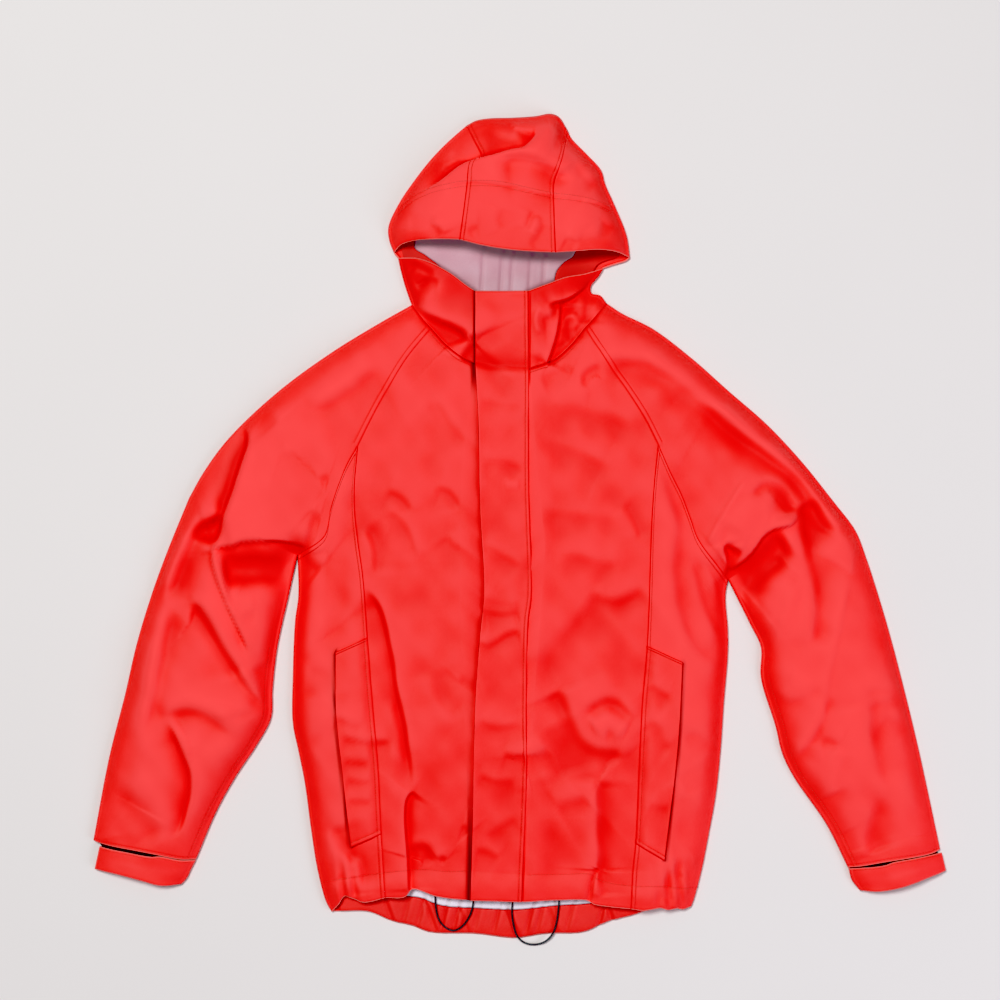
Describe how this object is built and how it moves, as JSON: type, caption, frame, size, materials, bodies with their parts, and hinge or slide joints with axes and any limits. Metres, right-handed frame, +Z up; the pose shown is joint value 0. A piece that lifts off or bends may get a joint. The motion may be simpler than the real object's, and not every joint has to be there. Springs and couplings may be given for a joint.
{
  "type": "raincoat",
  "caption": "Hooded raincoat laid flat on its back, with raglan sleeves, a storm flap over the front zip, two welt pockets, cuff straps and hem drawcords.",
  "frame": {"origin": "centre of the coat's footprint, on the surface that it lies on", "axes": "+X towards the wearer's left sleeve, +Y towards the hood, +Z up from the surface"},
  "size_m": [1.069, 1.0437, 0.0426],
  "materials": {
    "coral_cloth": "matt coated woven cloth",
    "inner_facing": "matt coated woven cloth, inner side",
    "zip_tape": "matt woven tape",
    "lining": "smooth taffeta",
    "cord": "braided, matt"
  },
  "bodies": {
    "root": {"back_panel": "coral_cloth", "centre_front_left": "coral_cloth", "centre_front_right": "coral_cloth", "side_front_left": "coral_cloth", "side_front_right": "coral_cloth", "sleeve_left": "coral_cloth", "sleeve_right": "coral_cloth", "cuff_strap_left": "coral_cloth", "cuff_strap_right": "coral_cloth", "pocket_welt_left": "coral_cloth", "pocket_welt_right": "coral_cloth", "storm_flap": "coral_cloth", "hood_centre": "coral_cloth", "hood_side_left": "coral_cloth", "hood_side_right": "coral_cloth", "hood_facing_left": "inner_facing", "hood_facing_right": "inner_facing", "back_hem_casing": "inner_facing", "front_zip": "zip_tape", "hood_lining": "lining", "back_lining": "lining", "hem_cord_left": "cord", "hem_cord_right": "cord"}
  },
  "joints": []
}
